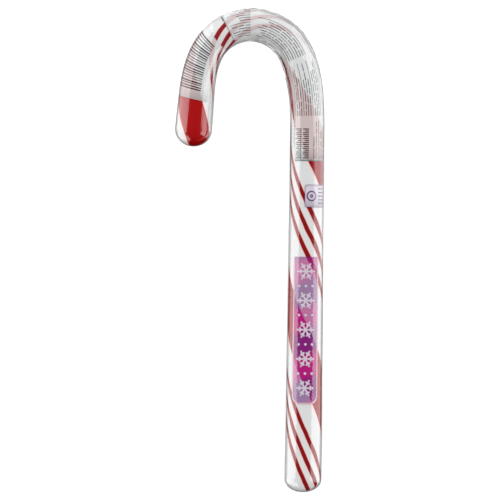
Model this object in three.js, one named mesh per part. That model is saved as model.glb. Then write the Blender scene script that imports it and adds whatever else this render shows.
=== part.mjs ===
// Candy cane in a tight clear film, lying on its side.
//
// The cane is made the way the real one is: a round rope of candy with two
// rounded ends is turned first, then bent in its own plane into a crook, and
// last settled on the surface, where its underside is very slightly flat.
//
// Millimetres. +Z is up, +Y runs along the leg towards the crook and +X is on
// the leg's side. The origin is the middle of the cane's footprint, on the
// surface that it lies on.

import * as THREE from 'three';

// Rope: radius at stations along its length, eased from each to the next, and
// the share of the crown's length at which it is thinnest.
const FOOT_RADIUS = 5.4;
const LEG_TOP_RADIUS = 5.02;
const SHOULDER_RADIUS = 4.97;
const CROWN_RADIUS = 4.68;
const TIP_RADIUS = 5.42;
const CROWN_THINNEST_AT = 0.6;

// Rounded ends: how far the rounding reaches along the rope.
const FOOT_ROUNDING = 3.8;
const TIP_ROUNDING = 4.95;

// Crook: the centreline's stretches in order from the foot. The bend radius
// named for a stretch is the one at its far end, and the curvature changes
// evenly along it.
const LEG_LENGTH = 102.3;
const SHOULDER_LENGTH = 22.5;
const SHOULDER_BEND = 35;
const TURN_IN_LENGTH = 4.5;
const CROWN_LENGTH = 28.8;
const CROWN_BEND = 14.35;
const TURN_OUT_LENGTH = 5.7;
const TURN_OUT_BEND = 28;
const RUN_OUT_LENGTH = 12.1;
const TIP_LENGTH = 12.1;
const LEG_LEAN = THREE.MathUtils.degToRad(0.7);

// Flat on which the cane rests, cut this deep into its round underside.
const FLAT_DEPTH = 0.12;

// Fineness of the mesh.
const SIDES = 36;
const ROUNDING_STEPS = 6;
const LONGEST_STEP = 10;
const SHORTEST_STEP = 0.5;
const TURN_PER_STEP = THREE.MathUtils.degToRad(4.5);
const BENDING_STEP = 0.05;

const STRAIGHT = 0;
const STRETCHES = [
  { length: LEG_LENGTH, curvature: STRAIGHT },
  { length: SHOULDER_LENGTH, curvature: 1 / SHOULDER_BEND },
  { length: TURN_IN_LENGTH, curvature: 1 / CROWN_BEND },
  { length: CROWN_LENGTH, curvature: 1 / CROWN_BEND },
  { length: TURN_OUT_LENGTH, curvature: 1 / TURN_OUT_BEND },
  { length: RUN_OUT_LENGTH, curvature: STRAIGHT },
  { length: TIP_LENGTH, curvature: STRAIGHT },
];
const ROPE_LENGTH = STRETCHES.reduce((sum, stretch) => sum + stretch.length, 0);

const CROWN_START = LEG_LENGTH + SHOULDER_LENGTH + TURN_IN_LENGTH;
const RADIUS_STATIONS = [
  { at: 0, radius: FOOT_RADIUS },
  { at: LEG_LENGTH, radius: LEG_TOP_RADIUS },
  { at: CROWN_START, radius: SHOULDER_RADIUS },
  { at: CROWN_START + CROWN_THINNEST_AT * CROWN_LENGTH, radius: CROWN_RADIUS },
  { at: ROPE_LENGTH, radius: TIP_RADIUS },
];

// Curvature of the centreline at a distance from the foot.
function curvatureAt(distance) {
  let start = 0;
  let before = STRAIGHT;
  for (const { length, curvature } of STRETCHES) {
    if (distance <= start + length) {
      return THREE.MathUtils.mapLinear(distance, start, start + length, before, curvature);
    }
    start += length;
    before = curvature;
  }
  return before;
}

// Radius of the rope at a distance from the foot, its rounded ends left out.
function ropeRadius(distance) {
  for (let i = 1; i < RADIUS_STATIONS.length; i++) {
    const from = RADIUS_STATIONS[i - 1];
    const to = RADIUS_STATIONS[i];
    if (distance <= to.at) {
      const eased = THREE.MathUtils.smoothstep(distance, from.at, to.at);
      return THREE.MathUtils.lerp(from.radius, to.radius, eased);
    }
  }
  return TIP_RADIUS;
}

// Half outline of the straight rope: x is its radius and y the distance along.
function ropeProfile() {
  const quarter = Math.PI / 2;
  const foot = [];
  const tip = [];
  for (let i = 0; i < ROUNDING_STEPS; i++) {
    const angle = (quarter * i) / ROUNDING_STEPS;
    const inward = 1 - Math.cos(angle);
    const alongFoot = FOOT_ROUNDING * inward;
    const alongTip = ROPE_LENGTH - TIP_ROUNDING * inward;
    foot.push(new THREE.Vector2(ropeRadius(alongFoot) * Math.sin(angle), alongFoot));
    tip.unshift(new THREE.Vector2(ropeRadius(alongTip) * Math.sin(angle), alongTip));
  }
  const body = [];
  const bodyEnd = ROPE_LENGTH - TIP_ROUNDING;
  let distance = FOOT_ROUNDING;
  while (bodyEnd - distance > SHORTEST_STEP) {
    body.push(new THREE.Vector2(ropeRadius(distance), distance));
    const bendRadius = 1 / Math.max(curvatureAt(distance), 1 / LEG_LENGTH);
    distance += Math.min(LONGEST_STEP, TURN_PER_STEP * bendRadius);
  }
  body.push(new THREE.Vector2(ropeRadius(bodyEnd), bodyEnd));
  return [...foot, ...body, ...tip];
}

// Points of the bent centreline, one every BENDING_STEP from the foot.
function bendCentreline() {
  const points = [];
  let x = 0;
  let y = 0;
  let heading = Math.PI / 2 - LEG_LEAN;
  for (let distance = 0; distance <= ROPE_LENGTH + BENDING_STEP; distance += BENDING_STEP) {
    points.push({ x, y, heading });
    const turn = curvatureAt(distance + BENDING_STEP / 2) * BENDING_STEP;
    x += Math.cos(heading + turn / 2) * BENDING_STEP;
    y += Math.sin(heading + turn / 2) * BENDING_STEP;
    heading += turn;
  }
  return points;
}

function pointOnCentreline(centreline, distance) {
  const position = distance / BENDING_STEP;
  const index = Math.min(Math.floor(position), centreline.length - 2);
  const part = position - index;
  const from = centreline[index];
  const to = centreline[index + 1];
  return {
    x: THREE.MathUtils.lerp(from.x, to.x, part),
    y: THREE.MathUtils.lerp(from.y, to.y, part),
    heading: THREE.MathUtils.lerp(from.heading, to.heading, part),
  };
}

// Bends the straight rope, which stands along +Y, and settles it on z = 0.
function layAlong(centreline, geometry) {
  const position = geometry.getAttribute('position');
  for (let i = 0; i < position.count; i++) {
    const distance = position.getY(i);
    const sideways = position.getX(i);
    const spine = pointOnCentreline(centreline, distance);
    const axisHeight = ropeRadius(distance) - FLAT_DEPTH;
    const height = Math.max(axisHeight + position.getZ(i), 0);
    position.setXYZ(
      i,
      spine.x + sideways * Math.sin(spine.heading),
      spine.y - sideways * Math.cos(spine.heading),
      height,
    );
  }
}

function centreFootprint(geometry) {
  geometry.computeBoundingBox();
  const middle = geometry.boundingBox.getCenter(new THREE.Vector3());
  geometry.translate(-middle.x, -middle.y, 0);
}

function makeWrappedCane() {
  const geometry = new THREE.LatheGeometry(ropeProfile(), SIDES);
  layAlong(bendCentreline(), geometry);
  centreFootprint(geometry);
  geometry.computeVertexNormals();
  const candy = new THREE.MeshStandardMaterial({
    color: 0xe4c9c7,
    roughness: 0.12,
    metalness: 0,
  });
  const mesh = new THREE.Mesh(geometry, candy);
  mesh.name = 'wrapped_cane';
  return mesh;
}

const cane = new THREE.Group();
cane.add(makeWrappedCane());

export default cane;
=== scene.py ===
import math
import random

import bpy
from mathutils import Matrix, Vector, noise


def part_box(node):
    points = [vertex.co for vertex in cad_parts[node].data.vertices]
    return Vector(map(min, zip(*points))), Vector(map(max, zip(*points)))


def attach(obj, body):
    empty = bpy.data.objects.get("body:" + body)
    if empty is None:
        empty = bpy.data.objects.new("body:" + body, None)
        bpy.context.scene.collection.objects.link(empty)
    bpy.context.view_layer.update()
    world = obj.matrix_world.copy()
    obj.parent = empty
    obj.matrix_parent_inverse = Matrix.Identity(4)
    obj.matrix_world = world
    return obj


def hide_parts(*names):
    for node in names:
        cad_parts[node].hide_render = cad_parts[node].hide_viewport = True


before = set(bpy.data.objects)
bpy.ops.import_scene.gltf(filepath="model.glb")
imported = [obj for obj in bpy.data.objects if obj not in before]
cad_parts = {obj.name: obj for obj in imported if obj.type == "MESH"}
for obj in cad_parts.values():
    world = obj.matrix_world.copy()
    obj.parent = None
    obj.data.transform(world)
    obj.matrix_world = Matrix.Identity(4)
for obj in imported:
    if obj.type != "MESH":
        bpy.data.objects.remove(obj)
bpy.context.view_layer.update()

# A candy cane in a tight clear film, lying on a pale floor and seen from above.
#
# Every piece is first laid out on the straight rope, by its distance from the
# foot in millimetres and its angle in degrees from the top towards the inside
# of the crook, and then bent into the cane by lay().

NODE = "wrapped_cane"
MM = 0.001

# ---------------------------------------------------------------- the rope
# The construction's own sizes, in millimetres.

FOOT_RADIUS = 5.4
LEG_TOP_RADIUS = 5.02
SHOULDER_RADIUS = 4.97
CROWN_RADIUS = 4.68
TIP_RADIUS = 5.42
CROWN_THINNEST_AT = 0.6      # share of the crown's length

FOOT_ROUNDING = 3.8
TIP_ROUNDING = 4.95

LEG_LENGTH = 102.3
SHOULDER_LENGTH = 22.5
SHOULDER_BEND = 35
TURN_IN_LENGTH = 4.5
CROWN_LENGTH = 28.8
CROWN_BEND = 14.35
TURN_OUT_LENGTH = 5.7
TURN_OUT_BEND = 28
RUN_OUT_LENGTH = 12.1
TIP_LENGTH = 12.1
LEG_LEAN = math.radians(0.7)

FLAT_DEPTH = 0.12            # of the strip that the cane rests on
BENDING_STEP = 0.05
LEAST_CURVATURE = 1e-6       # keeps a straight stretch from dividing by zero

STRAIGHT = 0.0
STRETCHES = (
    (LEG_LENGTH, STRAIGHT),
    (SHOULDER_LENGTH, 1 / SHOULDER_BEND),
    (TURN_IN_LENGTH, 1 / CROWN_BEND),
    (CROWN_LENGTH, 1 / CROWN_BEND),
    (TURN_OUT_LENGTH, 1 / TURN_OUT_BEND),
    (RUN_OUT_LENGTH, STRAIGHT),
    (TIP_LENGTH, STRAIGHT),
)
ROPE_LENGTH = sum(length for length, _ in STRETCHES)
CROWN_START = LEG_LENGTH + SHOULDER_LENGTH + TURN_IN_LENGTH
CROWN_END = CROWN_START + CROWN_LENGTH
RADIUS_STATIONS = (
    (0.0, FOOT_RADIUS),
    (LEG_LENGTH, LEG_TOP_RADIUS),
    (CROWN_START, SHOULDER_RADIUS),
    (CROWN_START + CROWN_THINNEST_AT * CROWN_LENGTH, CROWN_RADIUS),
    (ROPE_LENGTH, TIP_RADIUS),
)

# Depth of each layer under the film's outer face, the thickness of the inks, and
# the angle at which the film's printed width starts.
MOTIF_DEPTH = 0.09
FIELD_DEPTH = 0.12
WHITE_INK_DEPTH = 0.15
INK_THICKNESS = 0.015
CANDY_DEPTH = 0.26
PRINT_SEAM = -270

# The stripes' twist, in degrees for each millimetre of rope.
LEG_TWIST = 5.45
SHOULDER_TWIST = 4.33
CROWN_TWIST = 5.4
TIP_TWIST = 4.93
TIP_END_TWIST = 5.5
WIDE_STRIPE_AT = 106.6       # a wide stripe's middle is on top here
TWIST_STRETCHES = (
    (-10.0, LEG_TWIST),
    (116.9, SHOULDER_TWIST),
    (142.5, CROWN_TWIST),
    (154.0, TIP_TWIST),
    (175.0, TIP_END_TWIST),
    (ROPE_LENGTH, TIP_END_TWIST),
)
STRIPE_LAG = 2.0             # millimetres by which the rope's sides lag behind its top
STRIPE_SWAY = 0.8            # and the sides' slow sway, to and fro along the rope
SWAY_AT = 12.0
SWAY_LENGTH = 136.0
LAG_FADES = (112.0, 150.0)   # over the crown, and comes back in part towards the tip
LAG_RETURNS = (152.0, 160.0)
LAG_AT_TIP = 0.75

# Stripes round the rope, in degrees: one wide one and three thin ones, which
# grow wider towards the tip, between two shares of the rope's length.
WIDE_STRIPE = 104.0
THIN_STRIPE = 16.2
THIN_STRIPE_AT_TIP = 18.6
THIN_STRIPES_AT = (120.4, 160.3, 199.3)
THIN_STRIPES_GROW = (0.72, 0.80)
STRIPE_SOFTNESS = 1.1
STRIPE_FADE = 15.0           # how far the wide stripe's mask slopes to either side of an edge
THIN_MASK_FULL = 0.1         # height on a thin stripe's slope from which it counts as thin
STRIPE_WANDER = 0.012        # in turns
STRIPE_WANDER_SCALE = 240.0
RAMP_START = 0.25            # the colour ramp starts a quarter turn before a wide stripe
NO_STRIPE = (0, 0, 0)

# Over the rounded ends' upper half the stripes run straight on, and from here
# round to the side they turn in to the end's middle.
STRAIGHT_STRIPES_TO = 45.0


def smoothstep(value, low, high):
    share = min(max((value - low) / (high - low), 0.0), 1.0)
    return share * share * (3 - 2 * share)


def lerp(a, b, share):
    return a + (b - a) * share


def curvature_at(along):
    start, before = 0.0, STRAIGHT
    for length, curvature in STRETCHES:
        if along <= start + length:
            return lerp(before, curvature, (along - start) / length)
        start += length
        before = curvature
    return before


def rope_radius(along):
    for (low, from_radius), (high, to_radius) in zip(RADIUS_STATIONS, RADIUS_STATIONS[1:]):
        if along <= high:
            return lerp(from_radius, to_radius, smoothstep(along, low, high))
    return TIP_RADIUS


def twist_up_to(along):
    total = 0.0
    for (low, rate), (high, _) in zip(TWIST_STRETCHES, TWIST_STRETCHES[1:]):
        total += rate * max(min(along, high) - low, 0.0)
    return total


def stripe_phase(along, angle):
    """Turns round the striped pattern at a point; a wide stripe's middle is at 0."""
    turn = math.radians(angle)
    sway = STRIPE_SWAY * math.cos(2 * math.pi * (along - SWAY_AT) / SWAY_LENGTH)
    behind = STRIPE_LAG * (1 - math.cos(turn)) + sway * math.sin(turn)
    behind *= 1 - smoothstep(along, *LAG_FADES) + LAG_AT_TIP * smoothstep(along, *LAG_RETURNS)
    return (angle - twist_up_to(along - behind) + twist_up_to(WIDE_STRIPE_AT)) / 360


def pattern_angle(angle, fullness):
    """The stripes' own angle where a ring has only part of the rope's full radius."""
    signed = (angle + 180) % 360 - 180
    straight = math.degrees(math.asin(fullness * math.sin(math.radians(signed))))
    turned_in = smoothstep(abs(signed), STRAIGHT_STRIPES_TO, 90.0)
    return angle + (straight - signed) * (1 - turned_in)


def bend_centreline():
    points = []
    x = y = 0.0
    heading = math.pi / 2 - LEG_LEAN
    for step in range(int(ROPE_LENGTH / BENDING_STEP) + 2):
        points.append((x, y, heading))
        turn = curvature_at((step + 0.5) * BENDING_STEP) * BENDING_STEP
        x += math.cos(heading + turn / 2) * BENDING_STEP
        y += math.sin(heading + turn / 2) * BENDING_STEP
        heading += turn
    return points


def rope_rings(depth, longest_step, turn_per_step, rounding_steps):
    """(distance from the foot, radius) of rings from end to end, `depth` under the surface."""
    rounding = [math.pi / 2 * i / rounding_steps for i in range(rounding_steps)]
    rings = []
    for angle in rounding:
        along = depth + FOOT_ROUNDING * (1 - math.cos(angle))
        rings.append((along, (rope_radius(along) - depth) * math.sin(angle)))
    along = depth + FOOT_ROUNDING
    body_end = ROPE_LENGTH - TIP_ROUNDING - depth
    while along < body_end - longest_step / 4:
        rings.append((along, rope_radius(along) - depth))
        along += min(longest_step, turn_per_step / max(curvature_at(along), LEAST_CURVATURE))
    for angle in [math.pi / 2] + rounding[::-1]:
        along = ROPE_LENGTH - depth - TIP_ROUNDING * (1 - math.cos(angle))
        rings.append((along, (rope_radius(along) - depth) * math.sin(angle)))
    return rings


CENTRELINE = bend_centreline()
LAST_PLACE = len(CENTRELINE) - 1.001    # just short of the last point
# The rings on which the footprint is measured, as rope_rings() takes them.
FOOTPRINT_STEP = 0.5
FOOTPRINT_TURN = 0.02
FOOTPRINT_ROUNDING_STEPS = 12


def spine(along):
    """The centreline's x, y and heading at a distance from the foot."""
    position = min(max(along / BENDING_STEP, 0.0), LAST_PLACE)
    index = int(position)
    share = position - index
    return tuple(lerp(a, b, share) for a, b in zip(CENTRELINE[index], CENTRELINE[index + 1]))


def footprint_middle():
    """The middle of the bent rope's outline, seen from above."""
    xs, ys = [], []
    for along, radius in rope_rings(0.0, FOOTPRINT_STEP, FOOTPRINT_TURN, FOOTPRINT_ROUNDING_STEPS):
        x, y, heading = spine(along)
        for side in (-radius, radius):
            xs.append(x - side * math.sin(heading))
            ys.append(y + side * math.cos(heading))
    return (min(xs) + max(xs)) / 2, (min(ys) + max(ys)) / 2


CAD_LOW, CAD_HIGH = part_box(NODE)
CAD_MIDDLE = (CAD_LOW + CAD_HIGH) / 2
MIDDLE_X, MIDDLE_Y = footprint_middle()


def lay(along, inward, up, depth=0.0):
    """Where a point of the straight rope is once it is bent and lies on the floor."""
    x, y, heading = spine(along)
    height = max(rope_radius(along) - FLAT_DEPTH + up, depth)
    return Vector((
        CAD_MIDDLE.x + MM * (x - inward * math.sin(heading) - MIDDLE_X),
        CAD_MIDDLE.y + MM * (y + inward * math.cos(heading) - MIDDLE_Y),
        CAD_LOW.z + MM * height,
    ))


def on_rope(along, angle, depth):
    radius = rope_radius(along) - depth
    turn = math.radians(angle)
    return lay(along, radius * math.sin(turn), radius * math.cos(turn), depth)


# ---------------------------------------------------------------- unevenness

WAVE_LENGTH = 11.0
WAVE_HEIGHT = 0.03
WAVES_ROUND = 0.6
CRINKLE_LENGTH = 2.3
CRINKLE_HEIGHT = 0.07
CRINKLE_START = LEG_LENGTH + 4
CRINKLE_FULL = CROWN_START - 8
CRINKLE_FADES = CROWN_START + 10
CRINKLE_END = CROWN_END + 2
RIPPLE_LENGTH = 7.0
RIPPLE_HEIGHT = 0.05
RIPPLES_ROUND = 6.0
FOLD_LENGTH = 6.0
FOLD_HEIGHT = 0.22
FOLDS_ROUND = 4.0
FOLD_SHARPNESS = 4.0
FOLDS_ON_TOP = 0.3           # share of the folds' height over the middle of the rope


def rope_wave(along, angle):
    """Slow unevenness of the pulled candy, which the tight film follows."""
    turn = math.radians(angle)
    across, up = math.sin(turn) * WAVES_ROUND, math.cos(turn) * WAVES_ROUND
    place = Vector((up, across, along / WAVE_LENGTH))
    return WAVE_HEIGHT * noise.noise(place)


def film_crinkle(along, angle):
    """Dents, ripples and long raised folds of the film where the crook was bent."""
    in_crook = smoothstep(along, CRINKLE_START, CRINKLE_FULL)
    in_crook *= 1 - smoothstep(along, CRINKLE_FADES, CRINKLE_END)
    if in_crook == 0:
        return 0.0
    turn = math.radians(angle)
    across, up = math.sin(turn), math.cos(turn)
    dents_round = CROWN_RADIUS / CRINKLE_LENGTH
    dents = Vector((up * dents_round, across * dents_round, along / CRINKLE_LENGTH))
    ripples = Vector((up * RIPPLES_ROUND, across * RIPPLES_ROUND, along / RIPPLE_LENGTH))
    folds = Vector((up * FOLDS_ROUND, across * FOLDS_ROUND, along / FOLD_LENGTH))
    ridge = max(0.0, 1 - FOLD_SHARPNESS * abs(noise.noise(folds))) ** 2
    fold_height = FOLD_HEIGHT * lerp(FOLDS_ON_TOP, 1.0, abs(across))
    return in_crook * (CRINKLE_HEIGHT * noise.noise(dents) + RIPPLE_HEIGHT * noise.noise(ripples)
                       + fold_height * ridge)


# A sleeve's rings are at most this many millimetres and degrees of bend apart.
CANDY_STEP = 1.2
FILM_STEP = 0.5
SLEEVE_TURN = 2.0
ROUNDING_STEPS = 16
CANDY_SIDES = 96
FILM_SIDES = 180


# ---------------------------------------------------------------- mesh building


def add_object(name, vertices, faces, uv_layers, material):
    mesh = bpy.data.meshes.new(name)
    mesh.from_pydata(vertices, [], faces)
    for layer_name, corner_uvs in uv_layers.items():
        layer = mesh.uv_layers.new(name=layer_name)
        layer.data.foreach_set("uv", [value for uv in corner_uvs for value in uv])
    mesh.polygons.foreach_set("use_smooth", [True] * len(faces))
    mesh.materials.append(material)
    mesh.validate()
    mesh.update()
    piece = bpy.data.objects.new(name, mesh)
    bpy.context.scene.collection.objects.link(piece)
    return piece


def make_sleeve(name, depth, sides, longest_step, relief, material):
    """The whole rope's surface as one closed mesh, `depth` under the film's face."""
    rings = rope_rings(depth, longest_step, math.radians(SLEEVE_TURN), ROUNDING_STEPS)
    fullness = [radius / (rope_radius(along) - depth) for along, radius in rings]
    step = 360 / sides
    vertices, rows = [], []
    for index, (along, radius) in enumerate(rings):
        is_end = index in (0, len(rings) - 1)
        row = []
        for side in range(1 if is_end else sides):
            angle = side * step
            turn = math.radians(angle)
            full = radius + relief(along, angle) * fullness[index]
            row.append(len(vertices))
            vertices.append(lay(along, full * math.sin(turn), full * math.cos(turn), depth))
        rows.append(row)
    faces, places = [], []
    for index in range(len(rings) - 1):
        low, high = rows[index], rows[index + 1]
        for side in range(sides):
            after = (side + 1) % sides
            angle, next_angle = side * step, (side + 1) * step
            middle = (angle + next_angle) / 2
            if len(low) == 1:
                faces.append((low[0], high[side], high[after]))
                places.append(((index, middle), (index + 1, angle), (index + 1, next_angle)))
            elif len(high) == 1:
                faces.append((low[side], high[0], low[after]))
                places.append(((index, angle), (index + 1, middle), (index, next_angle)))
            else:
                faces.append((low[side], high[side], high[after], low[after]))
                places.append(((index, angle), (index + 1, angle),
                               (index + 1, next_angle), (index, next_angle)))
    stripes, bake = [], []
    for ring, angle in (place for face in places for place in face):
        along = rings[ring][0]
        phase = stripe_phase(along, pattern_angle(angle, min(fullness[ring], 1.0)))
        stripes.append((phase, along / ROPE_LENGTH))
        bake.append((angle / 360, along / ROPE_LENGTH))
    return add_object(name, vertices, faces, {"Stripes": stripes, "OFBake": bake}, material)


# A plate's columns are at most this many degrees apart, and its rows at most this
# many millimetres or this much bend.
COLUMN_TURN = 5.0
ROW_STEP = 4.0
ROW_TURN = math.radians(3)
LAST_STEP_STRETCH = 1.3      # a last step up to this much longer isn't split


class Print:
    """Thin plates of one ink on the inside of the film, gathered into one mesh."""

    def __init__(self, depth):
        self.depth = depth
        self.vertices = []
        self.faces = []
        self.places = []

    def plate(self, grid, closed=False):
        """A plate over rows of (distance, angle) points; closed joins the last row to the first."""
        flat = [place for row in grid for place in row]
        columns = len(grid[0])
        base = len(self.vertices)
        for depth in (self.depth, self.depth + INK_THICKNESS):
            self.vertices += [on_rope(along, angle, depth) for along, angle in flat]
        starts = [row * columns for row in range(len(grid))]
        row_pairs = list(zip(starts, starts[1:]))
        if closed:
            row_pairs.append((starts[-1], 0))
        for low, high in row_pairs:
            for c in range(columns - 1):
                corners = (low + c, high + c, high + c + 1, low + c + 1)
                self.face(base, flat, corners, (0, 0, 0, 0))
                self.face(base, flat, corners[::-1], (1, 1, 1, 1))
            self.wall(base, flat, high, low)
            self.wall(base, flat, low + columns - 1, high + columns - 1)
        if not closed:
            for c in range(columns - 1):
                self.wall(base, flat, c, c + 1)
                self.wall(base, flat, starts[-1] + c + 1, starts[-1] + c)

    def face(self, base, flat, corners, layers):
        """A face over numbered places, each on the plate's upper (0) or under (1) side."""
        self.faces.append(tuple(base + len(flat) * layer + c for c, layer in zip(corners, layers)))
        self.places.append([flat[c] for c in corners])

    def wall(self, base, flat, start, end):
        self.face(base, flat, (start, end, end, start), (0, 0, 1, 1))

    def field(self, rows):
        """A field whose rows are (distance, first angle, last angle)."""
        columns = columns_over(max(abs(last - first) for _, first, last in rows))
        self.plate([[(along, lerp(first, last, c / columns)) for c in range(columns + 1)]
                    for along, first, last in rows])

    def block(self, along_from, along_to, angle_from, angle_to, slant=0.0):
        """A plain block; slant is how far its ends lean along the rope for each degree."""
        columns = columns_over(abs(angle_to - angle_from))
        grid = []
        for along in block_steps(along_from, along_to):
            angles = [lerp(angle_from, angle_to, c / columns) for c in range(columns + 1)]
            grid.append([(along + slant * angle, angle) for angle in angles])
        self.plate(grid)

    def stroke(self, points, width, closed=False):
        """A line of ink through (distance, angle) points, `width` millimetres wide."""
        middle_radius = rope_radius(points[0][0])
        flat = [(along, math.radians(angle) * middle_radius) for along, angle in points]
        grid = []
        for index, (along, across) in enumerate(flat):
            before = flat[index - 1] if index or closed else flat[index]
            after = flat[(index + 1) % len(flat)] if index + 1 < len(flat) or closed else flat[index]
            direction = Vector((after[0] - before[0], after[1] - before[1])).normalized()
            aside = Vector((-direction.y, direction.x)) * (width / 2)
            grid.append([(along + side * aside.x, math.degrees((across + side * aside.y) / middle_radius))
                         for side in (-1, 1)])
        self.plate(grid, closed)

    def piece(self, name, material):
        places = [place for face in self.places for place in face]
        stripes = [(stripe_phase(*place), place[0] / ROPE_LENGTH) for place in places]
        bake = [((angle - PRINT_SEAM) / 360, along / ROPE_LENGTH) for along, angle in places]
        layers = {"Stripes": stripes, "OFBake": bake}
        return add_object(name, self.vertices, self.faces, layers, material)


def columns_over(turn):
    return max(math.ceil(turn / COLUMN_TURN), 1)


def block_steps(along_from, along_to):
    """Distances from one end of a block to the other, closer where the rope bends."""
    steps = [along_from]
    while True:
        here = steps[-1]
        bend = max(curvature_at(here), curvature_at(here + 1), LEAST_CURVATURE)
        step = min(ROW_STEP, ROW_TURN / bend)
        if here + step * LAST_STEP_STRETCH >= along_to:
            break
        steps.append(here + step)
    steps.append(along_to)
    return steps


# ---------------------------------------------------------------- materials

CLEAR = (1, 1, 1)            # a tint that changes nothing


def new_material(name):
    material = bpy.data.materials.new(name)
    material.use_nodes = True
    material.node_tree.nodes.clear()
    return material


def add_node(tree, kind, settings=None, **inputs):
    """A node whose inputs are linked or set, by their names; i0 is the input numbered 0."""
    node = tree.nodes.new(kind)
    for key, value in (settings or {}).items():
        setattr(node, key, value)
    for key, value in inputs.items():
        is_number = key[0] == "i" and key[1:].isdigit()
        socket = node.inputs[int(key[1:]) if is_number else key]
        if isinstance(value, bpy.types.NodeSocket):
            tree.links.new(value, socket)
        else:
            socket.default_value = value
    return node


def rgba(colour):
    return (*colour, 1.0)


def uv_place(tree, layer):
    return add_node(tree, "ShaderNodeUVMap", {"uv_map": layer}).outputs[0]


def uv_parts(tree, layer):
    """A UV layer's two parts: round the rope, and along it as a share of its length."""
    parts = add_node(tree, "ShaderNodeSeparateXYZ", None, Vector=uv_place(tree, layer))
    return parts.outputs["X"], parts.outputs["Y"]


def noise_value(tree, scale, detail=2.0):
    place = add_node(tree, "ShaderNodeTexCoord")
    texture = add_node(tree, "ShaderNodeTexNoise", None, Vector=place.outputs["Object"],
                       Scale=scale, Detail=detail)
    return texture.outputs["Fac"]


def calculate(tree, operation, first, second=0.0):
    return add_node(tree, "ShaderNodeMath", {"operation": operation}, i0=first, i1=second).outputs[0]


def rise(tree, value, low, high):
    """0 up to low, 1 from high on, and a slope between them."""
    node = add_node(tree, "ShaderNodeMapRange", {"clamp": True}, Value=value)
    node.inputs["From Min"].default_value = low
    node.inputs["From Max"].default_value = high
    return node.outputs[0]


def between(tree, value, entry, leaving):
    """1 inside a stretch, with a slope at each end of it."""
    return calculate(tree, "MULTIPLY", rise(tree, value, *entry), rise(tree, value, *leaving))


def stripe_slopes(tree, across):
    """Two masks that slope through a half at the edges of the wide and of the thin stripes."""
    ramp = add_node(tree, "ShaderNodeValToRGB", None, Fac=across)
    elements = ramp.color_ramp.elements
    elements[0].color = rgba(NO_STRIPE)
    elements[1].color = rgba(NO_STRIPE)
    stripes = [(0.0, WIDE_STRIPE, STRIPE_FADE, (1, 0, 0))]
    stripes += [(middle, THIN_STRIPE, THIN_STRIPE / 2, (0, 1, 0)) for middle in THIN_STRIPES_AT]
    for middle, width, fade, colour in stripes:
        for side in (-1, 1):
            edge = middle + side * width / 2
            elements.new((edge + side * fade) / 360 + RAMP_START).color = rgba(NO_STRIPE)
            if fade < width / 2:
                elements.new((edge - side * fade) / 360 + RAMP_START).color = rgba(colour)
        if fade >= width / 2:
            elements.new(middle / 360 + RAMP_START).color = rgba(colour)
    masks = add_node(tree, "ShaderNodeSeparateColor", None, Color=ramp.outputs["Color"])
    return masks.outputs["Red"], masks.outputs["Green"]


def near_tip(tree):
    """How far a point is into the stretch where the thin stripes grow."""
    _, along = uv_parts(tree, "Stripes")
    return rise(tree, along, *THIN_STRIPES_GROW)


def stripe_masks(tree):
    """Where the red stripes are, where they are the thin ones, and the white beside them."""
    around, _ = uv_parts(tree, "Stripes")
    unevenness = calculate(tree, "SUBTRACT", noise_value(tree, STRIPE_WANDER_SCALE), 0.5)
    wander = calculate(tree, "MULTIPLY", unevenness, STRIPE_WANDER)
    phase = calculate(tree, "ADD", around, wander)
    across = calculate(tree, "FRACT", calculate(tree, "ADD", phase, RAMP_START))
    wide_slope, thin_slope = stripe_slopes(tree, across)
    growth = (THIN_STRIPE_AT_TIP - THIN_STRIPE) / (2 * THIN_STRIPE)
    grown = calculate(tree, "MULTIPLY", near_tip(tree), growth)
    wide_edge = STRIPE_SOFTNESS / (2 * STRIPE_FADE)
    thin_edge = STRIPE_SOFTNESS / THIN_STRIPE
    wide = rise(tree, wide_slope, 0.5 - wide_edge, 0.5 + wide_edge)
    thin = rise(tree, calculate(tree, "ADD", thin_slope, grown), 0.5 - thin_edge, 0.5 + thin_edge)
    is_red = calculate(tree, "MAXIMUM", wide, thin)
    is_thin = rise(tree, thin_slope, 0.0, THIN_MASK_FULL)
    beside = rise(tree, calculate(tree, "MAXIMUM", wide_slope, thin_slope), 0.0, 0.5)
    return is_red, is_thin, beside


def stripe_mask(tree):
    return stripe_masks(tree)[0]


def blend_colours(tree, factor, first, second):
    mix = add_node(tree, "ShaderNodeMix", {"data_type": "RGBA"})
    for socket, value in ((mix.inputs[0], factor), (mix.inputs[6], first), (mix.inputs[7], second)):
        if isinstance(value, bpy.types.NodeSocket):
            tree.links.new(value, socket)
        else:
            socket.default_value = value if isinstance(value, float) else rgba(value)
    return mix.outputs[2]


def multiply_colours(tree, first, second):
    return add_node(tree, "ShaderNodeMix", {"data_type": "RGBA", "blend_type": "MULTIPLY"},
                    i0=1.0, i6=first, i7=second).outputs[2]


def finish_surface(tree, colour, roughness, specular, bump=None):
    surface = add_node(tree, "ShaderNodeBsdfPrincipled")
    tree.links.new(colour, surface.inputs["Base Color"])
    surface.inputs["Roughness"].default_value = roughness
    surface.inputs["Specular IOR Level"].default_value = specular
    if bump is not None:
        tree.links.new(bump, surface.inputs["Normal"])
    output = add_node(tree, "ShaderNodeOutputMaterial")
    tree.links.new(surface.outputs[0], output.inputs["Surface"])


def bump_from(tree, height, distance_mm, strength):
    node = add_node(tree, "ShaderNodeBump", None, Strength=strength, Distance=distance_mm * MM)
    tree.links.new(height, node.inputs["Height"])
    return node.outputs[0]


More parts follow.
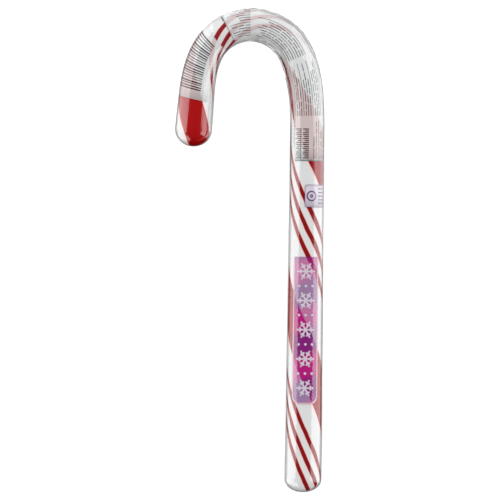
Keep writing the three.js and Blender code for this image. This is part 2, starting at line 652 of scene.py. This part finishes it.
CANDY_WHITE = (0.82, 0.82, 0.81)
CANDY_WHITE_DULL = (0.77, 0.775, 0.765)
CANDY_PINK = (0.93, 0.71, 0.70)         # the white right beside a stripe
CANDY_RED = (0.45, 0.006, 0.007)
CANDY_RED_DULL = (0.41, 0.004, 0.005)
CANDY_RED_LEG = (0.335, 0.003, 0.007)
CANDY_RED_THIN = (0.29, 0.006, 0.007)
CANDY_RED_THIN_TIP = (0.30, 0.016, 0.022)
RED_BRIGHTENS = (0.80, 0.94)  # shares of the rope's length
GRAIN_SCALE = (60.0, 14.0, 1.0)
GRAIN_DETAIL = 3.0
CANDY_BUMP_SCALE = 900.0
CANDY_BUMP_DETAIL = 3.0
CANDY_BUMP_DEPTH = 0.02
CANDY_BUMP_STRENGTH = 0.5
CANDY_ROUGHNESS = 0.35
CANDY_SPECULAR = 0.04


def candy_material():
    """Pulled sugar: silky white with red stripes, and a faint grain along the twist."""
    material = new_material("pulled_sugar")
    tree = material.node_tree
    stretched = add_node(tree, "ShaderNodeMapping", None, Vector=uv_place(tree, "Stripes"),
                         Scale=GRAIN_SCALE)
    grain = add_node(tree, "ShaderNodeTexNoise", None, Vector=stretched.outputs[0],
                     Scale=1.0, Detail=GRAIN_DETAIL)
    _, along = uv_parts(tree, "Stripes")
    brightening = rise(tree, along, *RED_BRIGHTENS)
    is_red, is_thin, beside = stripe_masks(tree)
    white = blend_colours(tree, grain.outputs["Fac"], CANDY_WHITE_DULL, CANDY_WHITE)
    white = blend_colours(tree, beside, white, CANDY_PINK)
    tip_red = blend_colours(tree, grain.outputs["Fac"], CANDY_RED_DULL, CANDY_RED)
    wide_red = blend_colours(tree, brightening, CANDY_RED_LEG, tip_red)
    thin_red = blend_colours(tree, near_tip(tree), CANDY_RED_THIN, CANDY_RED_THIN_TIP)
    red = blend_colours(tree, is_thin, wide_red, thin_red)
    unevenness = noise_value(tree, CANDY_BUMP_SCALE, CANDY_BUMP_DETAIL)
    bump = bump_from(tree, unevenness, CANDY_BUMP_DEPTH, CANDY_BUMP_STRENGTH)
    colour = blend_colours(tree, is_red, white, red)
    finish_surface(tree, colour, CANDY_ROUGHNESS, CANDY_SPECULAR, bump)
    return material


INK_WHITE = (0.80, 0.80, 0.795)
INK_OVER_RED = (0.69, 0.565, 0.555)
INK_PALER_OVER_RED = (0.76, 0.72, 0.715)
MOTTLE = (0.97, 0.97, 0.97)
MOTTLE_SCALE = 700.0
INK_WEAR_SCALE = 1500.0
INK_ROUGHNESS = 0.5
INK_SPECULAR = 0.1
# Where the white ink lets less of the red under it show: round the rope, in turns
# from the print's seam, and along it, in shares of its length.
PALER_RED_ROUND = (0.70, 0.64)
PALER_RED_FROM = (0.60, 0.64)
PALER_RED_TO = (0.75, 0.71)


def white_ink_material():
    """White ink, thin enough that the stripes under it show faintly."""
    material = new_material("white_ink")
    tree = material.node_tree
    around, along = uv_parts(tree, "OFBake")
    along_shoulder = between(tree, along, PALER_RED_FROM, PALER_RED_TO)
    paler_red = calculate(tree, "MULTIPLY", rise(tree, around, *PALER_RED_ROUND), along_shoulder)
    over_red = blend_colours(tree, paler_red, INK_OVER_RED, INK_PALER_OVER_RED)
    over = blend_colours(tree, stripe_mask(tree), INK_WHITE, over_red)
    mottle = blend_colours(tree, noise_value(tree, MOTTLE_SCALE), MOTTLE, CLEAR)
    finish_surface(tree, multiply_colours(tree, over, mottle), INK_ROUGHNESS, INK_SPECULAR)
    return material


def ink_material(name, colour, worn, over_red=None):
    """An ink whose density varies a little; a thin one is another colour over the red."""
    material = new_material(name)
    tree = material.node_tree
    tint = blend_colours(tree, noise_value(tree, INK_WEAR_SCALE), colour, worn)
    if over_red is not None:
        tint = blend_colours(tree, stripe_mask(tree), tint, over_red)
    finish_surface(tree, tint, INK_ROUGHNESS, INK_SPECULAR)
    return material


MAGENTA_ON_WHITE = (0.55, 0.185, 0.37)
MAGENTA_ON_RED = (0.48, 0.006, 0.20)
VIOLET_ON_WHITE = (0.36, 0.21, 0.38)
VIOLET_ON_RED = (0.24, 0.010, 0.19)
THIN_STRIPE_DARKENS = (0.72, 0.72, 0.72)
FIELD_LENGTH = 14.2
FIELD_LEAN = 0.35
FIELD_START = 0.06           # in lengths of a pair of fields
FIELD_BLEND = 0.45           # how far up and down its wave a field turns into the next


def panel_material():
    """Clear inks in leaning bands of magenta and violet; the stripes show through."""
    material = new_material("panel_ink")
    tree = material.node_tree
    around, along = uv_parts(tree, "OFBake")
    lean = FIELD_LEAN * 2 * math.pi * FOOT_RADIUS / FIELD_LENGTH
    down = calculate(tree, "MULTIPLY", along, ROPE_LENGTH / FIELD_LENGTH)
    across = calculate(tree, "MULTIPLY", around, lean)
    place = calculate(tree, "ADD", calculate(tree, "ADD", down, across), FIELD_START)
    wave = calculate(tree, "SINE", calculate(tree, "MULTIPLY", place, 2 * math.pi))
    share = rise(tree, wave, -FIELD_BLEND, FIELD_BLEND)
    on_white = blend_colours(tree, share, VIOLET_ON_WHITE, MAGENTA_ON_WHITE)
    on_red = blend_colours(tree, share, VIOLET_ON_RED, MAGENTA_ON_RED)
    is_red, is_thin, _ = stripe_masks(tree)
    darkening = blend_colours(tree, is_thin, CLEAR, THIN_STRIPE_DARKENS)
    on_red = multiply_colours(tree, on_red, darkening)
    colour = blend_colours(tree, is_red, on_white, on_red)
    finish_surface(tree, colour, INK_ROUGHNESS, INK_SPECULAR)
    return material


FILM_INDEX = 1.75           # stands for the reflections of the film's two faces
FILM_ROUGHNESS = 0.13
# The film greys where it is seen edge-on, and it starts so far round that this is also painted shade on
# the cane's lower sides.
FILM_EDGE_GREY_AND_SHADE = (0.63, 0.635, 0.635)
FILM_EDGE_BLEND = 0.5
FILM_EDGE_STARTS = 0.455
FILM_EDGE_FULL = 0.69
# Where the film is tinted darker as painted shade: along the inside of the bend,
# in a dark band at the inside of the upper leg and of the shoulder, along the
# tip's inner side, and in a dark line along the crown's outside. Each zone has
# its tint, its start and end round the rope in turns from the top, and its start
# and end along it in shares of its length. A start or an end is a slope from one
# value to the other.
PAINTED_SHADE_ZONES = (
    ((0.84, 0.845, 0.84), ((0.065, 0.105), (0.215, 0.17)), ((0.58, 0.66), (0.775, 0.75))),
    ((0.71, 0.70, 0.70), ((0.183, 0.197), (0.245, 0.222)), ((0.490, 0.508), (0.575, 0.56))),
    ((0.48, 0.465, 0.465), ((0.158, 0.172), (0.197, 0.180)), ((0.62, 0.66), (0.705, 0.685))),
    ((0.72, 0.725, 0.72), ((0.156, 0.174), (0.205, 0.19)), ((0.80, 0.86), (0.98, 0.955))),
    ((0.74, 0.74, 0.74), ((0.800, 0.815), (0.850, 0.832)), ((0.665, 0.69), (0.762, 0.735))),
)
# The film's rim at the tip's very end, where it takes on the red behind it.
RIM_RED = (0.85, 0.42, 0.42)
RIM_REDDENS = (0.986, 0.995)  # shares of the rope's length


def film_material():
    """Clear film: mirror-like reflections, painted shade in zones round the crook and tip, and grey where
    it is seen edge-on, which also stands in as painted shade on the cane's lower sides.
    """
    material = new_material("clear_film")
    tree = material.node_tree
    facing = add_node(tree, "ShaderNodeLayerWeight", None, Blend=FILM_EDGE_BLEND)
    ramp = add_node(tree, "ShaderNodeValToRGB", None, Fac=facing.outputs["Facing"])
    ramp.color_ramp.elements[0].position = FILM_EDGE_STARTS
    ramp.color_ramp.elements[0].color = rgba(CLEAR)
    ramp.color_ramp.elements[1].position = FILM_EDGE_FULL
    ramp.color_ramp.elements[1].color = rgba(FILM_EDGE_GREY_AND_SHADE)
    tint = ramp.outputs["Color"]
    around, along = uv_parts(tree, "OFBake")
    # Each zone darkens what is seen through the film and mirrored in it: painted shade.
    for grey, turns, shares in PAINTED_SHADE_ZONES:
        painted_shade = calculate(tree, "MULTIPLY", between(tree, around, *turns),
                             between(tree, along, *shares))
        tint = multiply_colours(tree, tint, blend_colours(tree, painted_shade, CLEAR, grey))
    red_rim = calculate(tree, "MULTIPLY", stripe_mask(tree), rise(tree, along, *RIM_REDDENS))
    tint = multiply_colours(tree, tint, blend_colours(tree, red_rim, CLEAR, RIM_RED))
    clear = add_node(tree, "ShaderNodeBsdfTransparent", None, Color=tint)
    gloss = add_node(tree, "ShaderNodeBsdfGlossy", None, Color=tint, Roughness=FILM_ROUGHNESS)
    fresnel = add_node(tree, "ShaderNodeFresnel", None, IOR=FILM_INDEX)
    side = add_node(tree, "ShaderNodeNewGeometry")
    from_outside = calculate(tree, "SUBTRACT", 1.0, side.outputs["Backfacing"])
    share = calculate(tree, "MULTIPLY", fresnel.outputs[0], from_outside)
    mix = add_node(tree, "ShaderNodeMixShader", None, i0=share)
    tree.links.new(clear.outputs[0], mix.inputs[1])
    tree.links.new(gloss.outputs[0], mix.inputs[2])
    output = add_node(tree, "ShaderNodeOutputMaterial")
    tree.links.new(mix.outputs[0], output.inputs["Surface"])
    return material


# ---------------------------------------------------------------- the print
# Distances are in millimetres from the foot, angles in degrees from the top.

CODE_BLOCK = (155.6, 174.4)
CODE_BLOCK_ANGLES = (-255, 40)
CODE_BARS = (157.3, 172.0)
CODE_BAR_COUNT = 22
CODE_BAR_WIDTHS = (0.36, 0.20, 0.28, 0.20, 0.42, 0.26, 0.34)
CODE_ANGLES = (-112, 13)
LABEL_START = -255
LABEL_EDGE = (               # the white label's edge at the inside of the crook
    (96.6, 45), (108.0, 51), (115.0, 55), (122.0, 57), (127.5, 61),
    (129.5, 78), (146.0, 78), (149.0, 60), (150.9, 47),
)
END_SLANT = 0.012            # the bars' lean, in millimetres for each degree
HAIRLINE = 0.13
HEAVY_RULE = 0.34
HEAVY_LINE_END = -42
DASH_HEIGHT = 0.24
SHORTEST_DASH = 1.4
LONGEST_DASH = 3.8
DASH_GAP = 0.4
# The label's blocks of evenly spaced rows: start and end along the rope, angles
# of the first and last row, and number of rows. Every fourth row is a ruled line.
PRINT_BLOCKS = (
    (97.0, 108.0, -78, -24, 7),
    (109.4, 125.0, -54, 42, 13),
    (126.6, 142.4, -30, 42, 9),
    (144.4, 150.2, -250, 40, 30),
    (97.4, 142.0, -245, -89, 13),
)
RULED_EVERY = 4
ROWS_VARY = 0.3              # share of its length by which a row may end early
LABEL_SEED = 11
HEADING_START = 97.0
HEADING_ANGLES = ((-6, 14), (20, 40))
HEADING_TICKS = 16
TICK = 0.3
TICK_PITCH = 0.56
TICK_HEIGHTS = (1.0, 0.8, 1.0, 1.0, 0.7)
RING_STEPS = 24
SMALL_BOX = (82.9, 89.3)
SMALL_BOX_ANGLES = (-80, 5)
BOX_CUT = 0.6                # how much is cut off its corners along the rope,
BOX_CUT_TURN = 6             # and round it
BOX_STEPS_ROUND = 12         # in an edge that runs round the rope, and in any other
BOX_STEPS = 2
BOX_RING_AT = -18
BOX_RING_RADIUS = 1.35
BOX_RING_STROKE = 0.42
BOX_DISC_RADIUS = 0.35
BOX_DISC_STEPS = 12
BOX_LINES = 5
BOX_LINES_INSET = 1.1
BOX_LINES_FROM = -44
BOX_LINES_TURN = 34
BOX_LINES_STEPS = 6
BOX_LINES_STROKE = 0.3
BOX_LINES_VARY = (0.8, 1.0)
BOX_SEED = 3
PANEL = (26.0, 68.4)
PANEL_ANGLES = (-43.0, 38.5)
PANEL_BORDER = 0.45
PANEL_CORNER = 2.2
CORNER_STEPS = 7
FIRST_ROW_INSET = 0.999      # share of the corner by which a panel's first row is drawn in
FLAKE_COUNT = 5
FLAKE_RADIUS = 2.7
FLAKE_STROKE = 0.46
FLAKE_ARMS = 6
ARM_STEPS = 6
BRANCH_AT = 0.5
BRANCH_SHARE = 0.32
BRANCH_TURN = math.radians(54)
BRANCH_STEPS = 3
DOT_RADIUS = 0.38
DOT_SPREAD = 22
# A dot's ring: its radius and stroke, as shares of the dot's radius, and its steps.
DOT_RING = 0.51
DOT_STROKE = 0.98
DOT_STEPS = 16


def print_white_blocks():
    white = Print(WHITE_INK_DEPTH)
    white.block(*CODE_BLOCK, *CODE_BLOCK_ANGLES, END_SLANT)
    rows = []
    for (low, low_edge), (high, high_edge) in zip(LABEL_EDGE, LABEL_EDGE[1:]):
        rows += [(along, LABEL_START, lerp(low_edge, high_edge, (along - low) / (high - low)))
                 for along in block_steps(low, high)[:-1]]
    rows.append((LABEL_EDGE[-1][0], LABEL_START, LABEL_EDGE[-1][1]))
    white.field(rows)
    return white


def print_code_bars(ink):
    """Bars whose thickness runs through a short cycle, which stands for no number."""
    pitch = (CODE_BARS[1] - CODE_BARS[0]) / CODE_BAR_COUNT
    for index in range(CODE_BAR_COUNT):
        start = CODE_BARS[0] + index * pitch
        thickness = CODE_BAR_WIDTHS[index % len(CODE_BAR_WIDTHS)]
        ink.block(start, start + thickness, *CODE_ANGLES, END_SLANT)


def print_dashes(ink, draw, along_from, along_to, angle):
    """A row of plain dashes in the place of fine print."""
    half = math.degrees(DASH_HEIGHT / 2 / rope_radius(along_from))
    along = along_from
    while along + SHORTEST_DASH < along_to:
        end = min(along + draw.uniform(SHORTEST_DASH, LONGEST_DASH), along_to)
        ink.block(along, end, angle - half, angle + half)
        along = end + DASH_GAP


def print_heading(ink, angle_from, angle_to):
    """A row of plain ticks in the place of a heading."""
    for index in range(HEADING_TICKS):
        start = HEADING_START + index * TICK_PITCH
        height = TICK_HEIGHTS[index % len(TICK_HEIGHTS)]
        ink.block(start, start + TICK, angle_from, lerp(angle_from, angle_to, height))


def print_label(ink, bold):
    """Blocks of dashes and ruled lines, and two headings of ticks; nothing can be read."""
    draw = random.Random(LABEL_SEED)
    for start, end, first, last, rows in PRINT_BLOCKS:
        for row in range(rows):
            angle = lerp(first, last, row / (rows - 1))
            if row % RULED_EVERY == 0:
                bold.stroke([(along, angle) for along in block_steps(start, end)], HAIRLINE)
            else:
                row_end = end - draw.uniform(0.0, ROWS_VARY) * (end - start)
                print_dashes(ink, draw, start, row_end, angle)
    for angle_from, angle_to in HEADING_ANGLES:
        print_heading(bold, angle_from, angle_to)


def rounded_rows(along_from, along_to, angle_from, angle_to, corner_mm):
    """Rows of a field whose two corners at its foot end are rounded."""
    corner_turn = math.degrees(corner_mm / rope_radius(along_from))
    rows = []
    for i in range(CORNER_STEPS + 1):
        turn = math.pi / 2 * i / CORNER_STEPS
        inset = corner_turn * (1 - math.sin(turn) if i else FIRST_ROW_INSET)
        along = along_from + corner_mm * (1 - math.cos(turn))
        rows.append((along, angle_from + inset, angle_to - inset))
    for along in block_steps(along_from + corner_mm, along_to)[1:]:
        rows.append((along, angle_from, angle_to))
    return rows


def turned_point(middle, radius_mm, turn, rope):
    """The point at a distance and direction from another, on a rope of that radius."""
    along, angle = middle
    return along + radius_mm * math.cos(turn), angle + math.degrees(radius_mm * math.sin(turn) / rope)


def arm_points(start, length, turn, rope, steps):
    return [turned_point(start, length * i / steps, turn, rope) for i in range(steps + 1)]


def print_snowflake(ink, along, angle):
    """Arms from one middle, each with a pair of short branches."""
    rope = rope_radius(along)
    middle = (along, angle)
    for arm in range(FLAKE_ARMS):
        turn = 2 * math.pi / FLAKE_ARMS * arm + math.pi / FLAKE_ARMS
        ink.stroke(arm_points(middle, FLAKE_RADIUS, turn, rope, ARM_STEPS), FLAKE_STROKE)
        fork = turned_point(middle, FLAKE_RADIUS * BRANCH_AT, turn, rope)
        for side in (-1, 1):
            aside = turn + side * BRANCH_TURN
            branch = arm_points(fork, FLAKE_RADIUS * BRANCH_SHARE, aside, rope, BRANCH_STEPS)
            ink.stroke(branch, FLAKE_STROKE)


def print_ring(ink, along, angle, radius, width, steps=RING_STEPS):
    rope = rope_radius(along)
    turns = [2 * math.pi * i / steps for i in range(steps)]
    circle = [turned_point((along, angle), radius, turn, rope) for turn in turns]
    ink.stroke(circle, width, closed=True)


def print_dot(ink, along, angle):
    """A disc, made as a ring that leaves no hole to be seen."""
    print_ring(ink, along, angle, DOT_RADIUS * DOT_RING, DOT_RADIUS * DOT_STROKE, DOT_STEPS)


def print_panel():
    low, high = PANEL
    border = Print(WHITE_INK_DEPTH)
    edge_turn = math.degrees(PANEL_BORDER / rope_radius(low))
    border.field(rounded_rows(low - PANEL_BORDER, high, PANEL_ANGLES[0] - edge_turn,
                              PANEL_ANGLES[1] + edge_turn, PANEL_CORNER + PANEL_BORDER))
    fields = Print(FIELD_DEPTH)
    fields.field(rounded_rows(low, high, *PANEL_ANGLES, PANEL_CORNER))
    motifs = Print(MOTIF_DEPTH)
    spacing = (high - low) / FLAKE_COUNT
    middle = sum(PANEL_ANGLES) / 2
    for index in range(FLAKE_COUNT):
        along = low + spacing * (index + 0.5)
        print_snowflake(motifs, along, middle)
        if index < FLAKE_COUNT - 1:
            for angle in (middle - DOT_SPREAD, middle, middle + DOT_SPREAD):
                print_dot(motifs, along + spacing / 2, angle)
    return border, fields, motifs


def print_box_outline(ink):
    low, high = SMALL_BOX
    first, last = SMALL_BOX_ANGLES
    outline = (
        (low, first),
        (low, last - BOX_CUT_TURN),
        (low + BOX_CUT, last),
        (high - BOX_CUT, last),
        (high, last - BOX_CUT_TURN),
        (high, first),
    )
    for start, end in zip(outline, outline[1:]):
        steps = BOX_STEPS_ROUND if start[0] == end[0] else BOX_STEPS
        ink.stroke([(lerp(start[0], end[0], i / steps), lerp(start[1], end[1], i / steps))
                    for i in range(steps + 1)], HAIRLINE)


def print_small_box():
    """A filled box with an outline, a ring round a disc, and plain lines."""
    low, high = SMALL_BOX
    fill = Print(WHITE_INK_DEPTH)
    fill.block(low, high, *SMALL_BOX_ANGLES)
    lines = Print(FIELD_DEPTH)
    print_box_outline(lines)
    middle = (low + high) / 2
    print_ring(lines, middle, BOX_RING_AT, BOX_RING_RADIUS, BOX_RING_STROKE)
    print_ring(lines, middle, BOX_RING_AT, BOX_DISC_RADIUS, BOX_DISC_RADIUS, BOX_DISC_STEPS)
    draw = random.Random(BOX_SEED)
    for index in range(BOX_LINES):
        along = low + BOX_LINES_INSET + index * (high - low - 2 * BOX_LINES_INSET) / (BOX_LINES - 1)
        angles = [BOX_LINES_FROM - BOX_LINES_TURN * i / BOX_LINES_STEPS * draw.uniform(*BOX_LINES_VARY)
                  for i in range(BOX_LINES_STEPS + 1)]
        lines.stroke([(along, angle) for angle in sorted(angles)], BOX_LINES_STROKE)
    return fill, lines


def print_end_lines():
    """The line round each end of the white label."""
    (low, low_edge), (high, high_edge) = LABEL_EDGE[0], LABEL_EDGE[-1]
    lines = Print(FIELD_DEPTH)
    lines.block(high, high + HEAVY_RULE, LABEL_START, HEAVY_LINE_END)
    lines.block(high, high + HAIRLINE, HEAVY_LINE_END, high_edge)
    lines.block(low - HEAVY_RULE, low, LABEL_START, low_edge)
    return lines


# ---------------------------------------------------------------- the pieces

# Each ink's colour, its colour where it is worn, and for a thin one that over red.
INKS = {
    "black_ink": ((0.05, 0.046, 0.046), (0.10, 0.09, 0.092), (0.07, 0.010, 0.018)),
    "small_ink": ((0.13, 0.125, 0.125), (0.24, 0.23, 0.23), (0.19, 0.09, 0.10)),
    "violet_ink": ((0.13, 0.06, 0.17), (0.19, 0.10, 0.23)),
    "pale_ink": ((0.80, 0.72, 0.80), (0.74, 0.64, 0.74)),
    "lavender_ink": ((0.74, 0.68, 0.77), (0.68, 0.62, 0.72)),
    "border_ink": ((0.80, 0.50, 0.58), (0.76, 0.46, 0.54)),
    "grey_ink": ((0.20, 0.22, 0.22), (0.28, 0.30, 0.30)),
}


def film_relief(along, angle):
    return rope_wave(along, angle) + film_crinkle(along, angle)


candy = make_sleeve("candy", CANDY_DEPTH, CANDY_SIDES, CANDY_STEP, rope_wave, candy_material())
film = make_sleeve("clear_film", 0.0, FILM_SIDES, FILM_STEP, film_relief, film_material())
inks = {name: ink_material(name, *colours) for name, colours in INKS.items()}

bold_print, fine_print = Print(FIELD_DEPTH), Print(FIELD_DEPTH)
print_code_bars(bold_print)
print_label(fine_print, bold_print)
panel_border, panel_fields, panel_motifs = print_panel()
box_fill, box_lines = print_small_box()

prints = [
    print_white_blocks().piece("white_blocks", white_ink_material()),
    bold_print.piece("bold_print", inks["black_ink"]),
    fine_print.piece("fine_print", inks["small_ink"]),
    print_end_lines().piece("end_lines", inks["grey_ink"]),
    panel_border.piece("panel_border", inks["border_ink"]),
    panel_fields.piece("panel_fields", panel_material()),
    panel_motifs.piece("panel_motifs", inks["pale_ink"]),
    box_fill.piece("box_fill", inks["lavender_ink"]),
    box_lines.piece("box_lines", inks["violet_ink"]),
]

for piece, slot in [(candy, "candy"), (film, "film")] + [(piece, "print") for piece in prints]:
    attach(piece, "root")
    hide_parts(NODE)

# ---------------------------------------------------------------- floor, light, camera

FLOOR_SIZE = 3.0
FLOOR_TONES = ((0.34, 0.34, 0.34), (0.36, 0.36, 0.36))
FLOOR_TONES_SCALE = 3.0
FLOOR_ROUGHNESS = 0.9
FLOOR_GLOW = 0.85
PICTURE_PIXELS = 500
MM_PER_PIXEL = 0.2906
PICTURE_MIDDLE = (0.09, 0.13)       # millimetres from the middle of the cane's footprint
CAMERA_HEIGHT = 0.6
CAMERA_SEES = (0.01, 10.0)          # its nearest and farthest distance


def make_floor():
    half = FLOOR_SIZE / 2
    corners = [(-half, -half, 0), (half, -half, 0), (half, half, 0), (-half, half, 0)]
    material = new_material("pale_floor")
    tree = material.node_tree
    tone = blend_colours(tree, noise_value(tree, FLOOR_TONES_SCALE), *FLOOR_TONES)
    surface = add_node(tree, "ShaderNodeBsdfPrincipled", None, Roughness=FLOOR_ROUGHNESS)
    tree.links.new(tone, surface.inputs["Base Color"])
    surface.inputs["Specular IOR Level"].default_value = 0.0
    surface.inputs["Emission Color"].default_value = rgba((1, 1, 1))
    surface.inputs["Emission Strength"].default_value = FLOOR_GLOW
    output = add_node(tree, "ShaderNodeOutputMaterial")
    tree.links.new(surface.outputs[0], output.inputs["Surface"])
    mesh = bpy.data.meshes.new("floor")
    mesh.from_pydata(corners, [], [(0, 1, 2, 3)])
    mesh.materials.append(material)
    floor = bpy.data.objects.new("floor", mesh)
    floor.visible_glossy = False
    bpy.context.scene.collection.objects.link(floor)


SOFTBOX_DISTANCE = 0.30
# The softboxes' parts, in metres: side, start and end along +Y, foot and top of
# the full part and its brightness, the brightness of the dim gap under it, and
# that of the part far below. They reach under the floor, which the film doesn't
# mirror.
SOFTBOXES = (
    (-1, -1.000, -0.300, -0.110, 0.310, 2.6, 0.05, 0.3),
    (-1, -0.300, -0.075, -0.200, 0.180, 2.6, 0.05, 1.5),
    (-1, -0.075, 0.030, -0.110, 0.310, 2.6, 0.05, 1.5),
    (-1, 0.030, 0.060, -0.190, 0.285, 2.7, 0.05, 1.0),
    (-1, 0.060, 0.085, -0.190, 0.310, 3.0, 0.30, 0.9),
    (-1, 0.085, 0.150, -0.190, 0.310, 2.1, 0.30, 0.9),
    (-1, 0.150, 0.450, -0.140, 0.310, 2.1, 0.30, 1.4),
    (1, -0.200, -0.045, -0.160, 0.270, 2.6, 0.10, 0.7),
    (1, -0.045, -0.010, -0.170, 0.218, 2.6, 0.10, 0.4),
    (1, -0.010, 0.030, -0.340, 0.218, 2.6, 0.20, 0.6),
    (1, 0.030, 0.100, -0.320, 0.335, 2.2, 0.40, 1.0),
    (1, 0.100, 0.150, -0.440, 0.280, 1.7, 0.40, 1.3),
    (1, 0.150, 0.220, -0.140, 0.280, 1.7, 0.30, 1.9),
    (1, 0.220, 0.450, -0.100, 0.280, 1.2, 0.20, 2.8),
)
FADE_DEPTH = 0.08            # between the full part and the gap
FADE_SHARE = 0.45            # of the full part's brightness
GAP_DEPTH = 0.36             # where the gap ends under the full part
SOFTBOX_FOOT = -1.6
# Lights beyond the crook, for its outer rim: left, right, foot, top, brightness.
FAR_SOFTBOX_AT = 0.46
FAR_SOFTBOXES = (
    (-0.45, -0.18, -2.00, -0.34, 1.9),
    (-0.18, -0.06, -2.00, -0.20, 3.0),
    (-0.18, -0.06, -0.20, -0.04, 0.4),
    (-0.06, 0.06, -0.24, -0.04, 0.8),
    (-0.06, 0.06, -2.00, -0.44, 3.2),
    (0.06, 0.29, -2.00, -0.50, 3.3),
)
SKY_COLOUR = (0.98, 0.99, 1.0)
SKY_BRIGHTNESS = 1.0
SKY_SLOPE = 0.5              # share by which it is brighter straight beyond the crook


def make_light(name, width, height, brightness, location, rotation):
    """A light that only the cane's glossy faces mirror."""
    data = bpy.data.lights.new(name, "AREA")
    data.shape = "RECTANGLE"
    data.size = width
    data.size_y = height
    data.energy = brightness * math.pi * width * height
    light = bpy.data.objects.new(name, data)
    light.location = location
    light.rotation_euler = rotation
    light.visible_camera = False
    light.visible_diffuse = False
    bpy.context.scene.collection.objects.link(light)


def make_side_softbox(side, start, end, foot, top, full, gap, deep):
    """A long upright light beside the cane, in parts from the top down."""
    turn = (0.0, side * math.pi / 2, 0.0)
    edges = (top, foot, foot - FADE_DEPTH, foot - GAP_DEPTH, SOFTBOX_FOOT)
    for high, low, brightness in zip(edges, edges[1:], (full, full * FADE_SHARE, gap, deep)):
        location = (side * SOFTBOX_DISTANCE, (start + end) / 2, (low + high) / 2)
        make_light("softbox", high - low, end - start, brightness, location, turn)


def make_far_softbox(left, right, low, high, brightness):
    """An upright light beyond the crook."""
    location = ((left + right) / 2, FAR_SOFTBOX_AT, (low + high) / 2)
    make_light("far_softbox", right - left, high - low, brightness, location, (-math.pi / 2, 0.0, 0.0))


def make_world():
    """A sky, brighter beyond the crook, that lights the cane but isn't mirrored in the film."""
    world = bpy.data.worlds.new("studio")
    world.use_nodes = True
    tree = world.node_tree
    place = add_node(tree, "ShaderNodeTexCoord")
    parts = add_node(tree, "ShaderNodeSeparateXYZ", None, Vector=place.outputs["Generated"])
    slope = calculate(tree, "MULTIPLY", parts.outputs["Y"], SKY_BRIGHTNESS * SKY_SLOPE)
    background = tree.nodes["Background"]
    background.inputs["Color"].default_value = rgba(SKY_COLOUR)
    tree.links.new(calculate(tree, "ADD", slope, SKY_BRIGHTNESS), background.inputs["Strength"])
    bpy.context.scene.world = world
    world.cycles_visibility.glossy = False


def make_camera():
    data = bpy.data.cameras.new("camera")
    data.type = "ORTHO"
    data.ortho_scale = PICTURE_PIXELS * MM_PER_PIXEL * MM
    data.clip_start, data.clip_end = CAMERA_SEES
    camera = bpy.data.objects.new("camera", data)
    x, y = PICTURE_MIDDLE
    camera.location = (CAD_MIDDLE.x + x * MM, CAD_MIDDLE.y + y * MM, CAMERA_HEIGHT)
    bpy.context.scene.collection.objects.link(camera)
    bpy.context.scene.camera = camera


make_floor()
for softbox in SOFTBOXES:
    make_side_softbox(*softbox)
for softbox in FAR_SOFTBOXES:
    make_far_softbox(*softbox)
make_world()
make_camera()
bpy.context.scene.view_settings.view_transform = "Standard"
